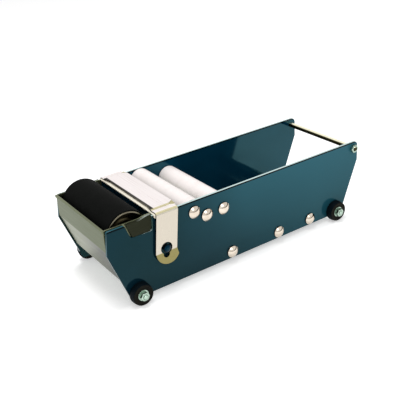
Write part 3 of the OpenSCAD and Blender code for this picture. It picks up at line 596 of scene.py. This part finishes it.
def guide_roller(node):
    """A nylon roller: a tube with a hub at each end, a dish between hub and rim, and soft edges."""
    reach = span_of(node)
    hub, rim, dish = 4.6 * MM, GUIDE_R - 1.6 * MM, reach - 4 * MM
    half = softened([[0, GUIDE_R], [reach, GUIDE_R], [reach, rim], [dish, rim], [dish, hub], [reach, hub],
                     [reach, BORE], [0, BORE]], 0.45 * MM)
    return turned(mirrored(half), axis_of(node), steps=128)


def plain_roller(node):
    """A turned steel roller: a straight tube with soft edges."""
    reach = span_of(node)
    half = softened([[0, SUPPORT_R], [reach, SUPPORT_R], [reach, BORE], [0, BORE]], 0.3 * MM)
    return turned(mirrored(half), axis_of(node))


for end in ("front", "rear"):
    roller = "guide_roller_" + end
    piece("nylon_" + roller, [guide_roller(roller)], NYLON, "guide_" + end, "white_nylon", roller)
for end in ("front", "middle", "rear"):
    roller = "support_roller_" + end
    piece("steel_" + roller, [plain_roller(roller)], ROLLER_STEEL, "support_" + end, "roller_steel", roller)

sleeve_reach, drum_reach = span_of("wet_roller_sleeve"), span_of("wet_roller_drum")
sleeve = softened([[0, SLEEVE_R], [sleeve_reach, SLEEVE_R], [sleeve_reach, DRUM_R], [0, DRUM_R]], 0.6 * MM)
piece("wet_sleeve", [turned(mirrored(sleeve), WET_AXIS, steps=160)], SLEEVE_RUBBER, "wet_roller",
      "sleeve_rubber", "wet_roller_sleeve")
# The drum's wall is 0.9 thick, and 1.3 thick at the curled ends
curl, wall = DRUM_R - 1.3 * MM, DRUM_R - 0.9 * MM
drum = softened([[0, DRUM_R], [drum_reach, DRUM_R], [drum_reach, curl], [drum_reach - 1.2 * MM, curl],
                 [drum_reach - 1.4 * MM, wall], [0, wall]], 0.3 * MM)
piece("wet_drum", [turned(mirrored(drum), WET_AXIS, steps=160)], DRUM_STEEL, "wet_roller", "drum_steel",
      "wet_roller_drum")
# A pressed disc: rolled rim, a shallow dish with one raised ring, and a hub; places in mm from its seat
disc = np.array([[0, DISC_R / MM], [-0.3, 15.4], [-1.0, 14.4], [-1.0, 10.4], [-0.2, 8.2], [-0.2, 7.0],
                 [-0.6, 5.6], [0.6, 5.0], [0.6, BORE / MM], [-2.8, BORE / MM], [-2.8, 5.0], [-1.4, 5.6],
                 [-1.4, DISC_R / MM], [0, DISC_R / MM]]) * MM
piece("wet_drum_discs", both_sides(softened(disc, 0.4 * MM), [WET_AXIS], drum_reach - 5 * MM, steps=128),
      DISC_STEEL, "wet_roller", "drum_steel", "wet_drum_ends")
CLIP_R, CLIP_T = 3.9 * MM, 0.8 * MM
clip = loop([[0, ROD_R + FIT], [0, CLIP_R], [CLIP_T, CLIP_R], [CLIP_T, ROD_R + FIT]], 0.15 * MM)
piece("axle_clips", both_sides(clip, [WET_AXIS], span_of("wet_axle_clips") - CLIP_T), ZINC, "wet_axle",
      "zinc_plated", "wet_axle_clips")

# ---- Studio: floor, surroundings, lamps and camera

WHITE = tone("#ffffff")


def white_to_eye(tree, shown, lit):
    """Shows one shader to the camera and in reflections and glass, and another to everything else."""
    rays = add(tree, "ShaderNodeLightPath", {})
    first = add(tree, "ShaderNodeMath", {0: rays.outputs["Is Camera Ray"], 1: rays.outputs["Is Glossy Ray"]},
                operation="MAXIMUM")
    share = add(tree, "ShaderNodeMath", {0: first.outputs[0], 1: rays.outputs["Is Transmission Ray"]},
                operation="MAXIMUM")
    return add(tree, "ShaderNodeMixShader", {0: share.outputs[0], 1: lit, 2: shown}).outputs[0]


def staged(name, points, faces, finish):
    """A part of the studio, which isn't part of the object."""
    mesh = bpy.data.meshes.new(name)
    mesh.from_pydata(points, [], faces)
    mesh.materials.append(finish)
    made = placed(name, mesh)
    return made


def studio_floor():
    """A matt white table: the eye sees its own light added, so it reads as white and keeps its shadow."""
    made = bpy.data.materials.new("matt_white_table")
    tree = bare_tree(made)
    matt = add(tree, "ShaderNodeBsdfDiffuse", {"Color": tone("#eeeeee")}).outputs[0]
    glow = add(tree, "ShaderNodeEmission", {"Color": WHITE, "Strength": 0.45}).outputs[0]
    both = add(tree, "ShaderNodeAddShader", {0: matt, 1: glow}).outputs[0]
    add(tree, "ShaderNodeOutputMaterial", {"Surface": white_to_eye(tree, both, matt)})
    reach = 8.0
    staged("table", [(-reach, -reach, 0), (reach, -reach, 0), (reach, reach, 0), (-reach, reach, 0)],
           [(0, 1, 2, 3)], made)


def surroundings():
    """White all round to the eye and in reflections, and a soft half-strength light on everything."""
    world = bpy.data.worlds.new("white_room")
    bpy.context.scene.world = world
    tree = bare_tree(world)
    seen = add(tree, "ShaderNodeBackground", {"Color": WHITE, "Strength": 1.0}).outputs[0]
    lit = add(tree, "ShaderNodeBackground", {"Color": WHITE, "Strength": 0.5}).outputs[0]
    add(tree, "ShaderNodeOutputWorld", {"Surface": white_to_eye(tree, seen, lit)})


def dark_horizon():
    """The dark side of the room, low behind the camera, which polished domes show as a thin line.

    At angle t, from the left to the right, it stands on the table at (R cos t, R sin t) and is as high as
    low + (high - low) (t - first) / (last - first). The camera doesn't see it.
    """
    away, first, last, lowest, highest, posts = 3.0, radians(-140), radians(15), 0.08, 0.75, 60
    t = np.linspace(first, last, posts)[:, None]
    foot_and_top = np.array([[0.0, 1.0]])
    tall = lowest + (highest - lowest) * (t - first) / (last - first)
    wall = np.stack([away * np.cos(t) + 0 * foot_and_top, away * np.sin(t) + 0 * foot_and_top,
                     tall * foot_and_top], -1)
    made = bpy.data.materials.new("dark_room_side")
    tree = bare_tree(made)
    matt = add(tree, "ShaderNodeBsdfDiffuse", {"Color": tone("#46361f")}).outputs[0]
    add(tree, "ShaderNodeOutputMaterial", {"Surface": matt})
    panels = np.arange(posts - 1)[:, None] * 2 + np.array([[0, 2, 3, 1]])
    staged("room_side", wall.reshape(-1, 3), panels, made).visible_camera = False


def lamp(name, place, size, power):
    """A square soft lamp that points at the middle of the object."""
    light = bpy.data.lights.new(name, "AREA")
    light.size = size
    light.energy = power
    made = placed(name, light)
    middle = Vector((0, 0, 0.04))
    made.location = place
    made.rotation_euler = (middle - Vector(place)).to_track_quat("-Z", "Y").to_euler()


studio_floor()
surroundings()
dark_horizon()
lamp("soft_top", (-0.1, 0.1, 1.2), 0.5, 9.0)
lamp("soft_front", (-0.2, -1.0, 0.85), 0.6, 2.6)

# The camera stands as the photograph's did: fitted to the plates' corners and edges
AZIMUTH, ELEVATION, ROLL = radians(-32.937), radians(26.442), radians(-4.243)
DISTANCE, AIM = 0.63335, Vector((-0.01685, 0.0, 0.0445))
PICTURE_WIDTH, FOCAL_PIXELS = 400, 702.64

back = Vector((sin(AZIMUTH) * cos(ELEVATION), -cos(AZIMUTH) * cos(ELEVATION), sin(ELEVATION)))
right = (-back).cross(Vector(Z)).normalized()
up = right.cross(-back)
turned_right = right * cos(ROLL) + up * sin(ROLL)
turned_up = up * cos(ROLL) - right * sin(ROLL)
view = bpy.data.cameras.new("camera")
view.sensor_width = 36.0
view.lens = FOCAL_PIXELS / PICTURE_WIDTH * view.sensor_width
view.clip_start = 0.01
camera = placed("camera", view)
turn = Matrix((turned_right, turned_up, back)).transposed()
camera.matrix_world = Matrix.Translation(AIM + back * DISTANCE) @ turn.to_4x4()
bpy.context.scene.camera = camera
bpy.context.scene.view_settings.view_transform = "Standard"
